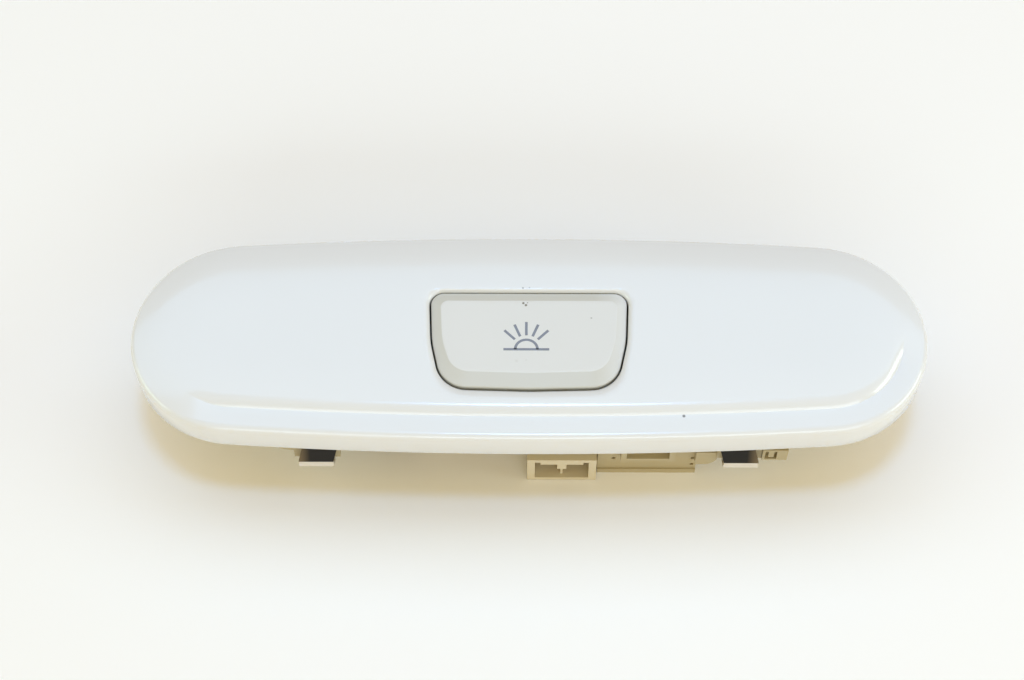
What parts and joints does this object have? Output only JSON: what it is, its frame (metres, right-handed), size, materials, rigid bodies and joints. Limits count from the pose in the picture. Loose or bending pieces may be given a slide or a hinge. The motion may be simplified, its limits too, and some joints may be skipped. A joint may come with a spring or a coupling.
{
  "type": "car interior light",
  "caption": "Oblong car interior light with a milky cover, a tilting push button, spring clips and a connector on a shallow rear housing.",
  "frame": {"origin": "middle of the underside, where the connector bay rests", "axes": "+Z out of the visible face of the cover, +X along the length, -Y towards the long side with the connector"},
  "size_m": [0.17, 0.0504, 0.029],
  "materials": {
    "cover_plastic": "milky bluish white, glossy, slightly translucent",
    "button_plastic": "milky neutral white, satin gloss",
    "clear_plastic": "clear light guide plastic",
    "dark_plastic": "dark matte moulding",
    "housing_plastic": "cream moulding with a fine matte grain",
    "board_laminate": "green solder mask",
    "reflector_plastic": "white reflector moulding",
    "diode_resin": "clear yellowish resin",
    "plated_steel": "zinc plated",
    "plunger_plastic": "pale acetal",
    "connector_plastic": "cream connector moulding",
    "contact_metal": "tin plated brass",
    "spring_steel": "bright rolled spring strip",
    "component_resin": "black moulded resin",
    "capacitor_can": "plain drawn can"
  },
  "bodies": {
    "lamp": {"lens_cover": "cover_plastic", "light_box": "dark_plastic", "rear_housing": "housing_plastic", "circuit_board": "board_laminate", "reflector_left": "reflector_plastic", "reflector_right": "reflector_plastic", "lamp_diode_left": "diode_resin", "lamp_diode_right": "diode_resin", "symbol_diode": "diode_resin", "switch_body": "dark_plastic", "switch_plate": "plated_steel", "connector_shell": "connector_plastic", "connector_pins": "contact_metal", "clip_front_left": "spring_steel", "clip_front_right": "spring_steel", "clip_back_left": "spring_steel", "clip_back_right": "spring_steel", "board_screws": "plated_steel", "driver_chip": "component_resin", "power_coil": "component_resin", "buffer_capacitor": "capacitor_can", "supply_diode": "component_resin", "chip_resistors": "component_resin"},
    "button": {"push_button": "button_plastic", "button_light_guide": "clear_plastic"},
    "plunger": {"switch_plunger": "plunger_plastic"}
  },
  "joints": [
    {"name": "button_tilt", "type": "hinge", "parent": "lamp", "child": "button", "pos_m": [0, 0.0064, 0.0227], "axis": [1, 0, 0], "range_deg": [0, 2.4], "stiffness_Nm_per_rad": 0.3, "springref_deg": -1.72},
    {"name": "plunger_travel", "type": "slide", "parent": "lamp", "child": "plunger", "axis": [0, 0, -1], "range_m": [0, 0.0007]}
  ],
  "couplings": [
    {"joint": "plunger_travel", "follows": "button_tilt", "m_per_rad": 0.0164}
  ]
}
